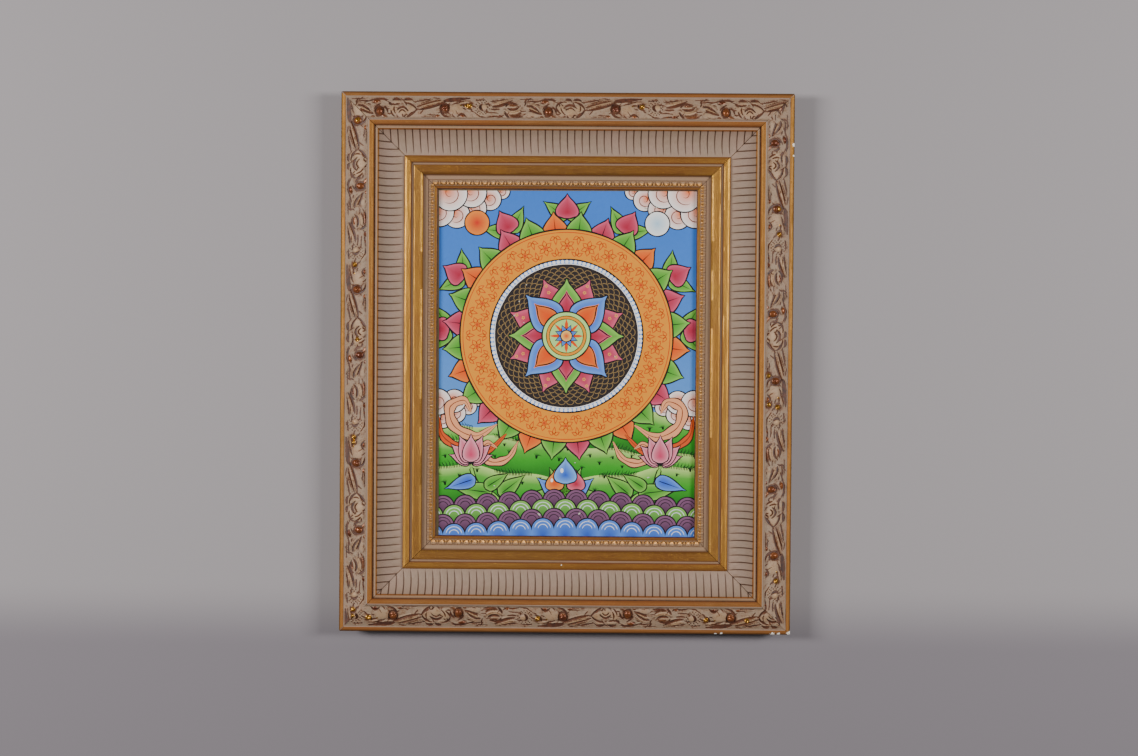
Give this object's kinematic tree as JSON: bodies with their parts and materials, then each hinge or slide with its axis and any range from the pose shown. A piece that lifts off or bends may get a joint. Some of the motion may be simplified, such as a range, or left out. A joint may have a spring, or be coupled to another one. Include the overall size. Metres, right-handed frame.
{
  "type": "framed thangka painting on cloth",
  "caption": "Upright painted cloth picture in a wide mitred wooden moulding with a pressed ornament band, a fluted cove and gilded steps, lying on its back.",
  "frame": {"origin": "centre of the back of the frame", "axes": "+Z out of the picture's face, +Y towards the picture's top, +X towards its right"},
  "size_m": [0.38, 0.454, 0.035],
  "materials": {
    "moulding": "painted greige over red-brown, with gilded steps, satin",
    "painted_cloth": "matt gouache on primed cotton",
    "backing_board": "bare hardboard"
  },
  "bodies": {
    "root": {"rail_top": "moulding", "rail_right": "moulding", "rail_bottom": "moulding", "rail_left": "moulding", "painted_cloth": "painted_cloth", "backing_board": "backing_board"}
  },
  "joints": []
}
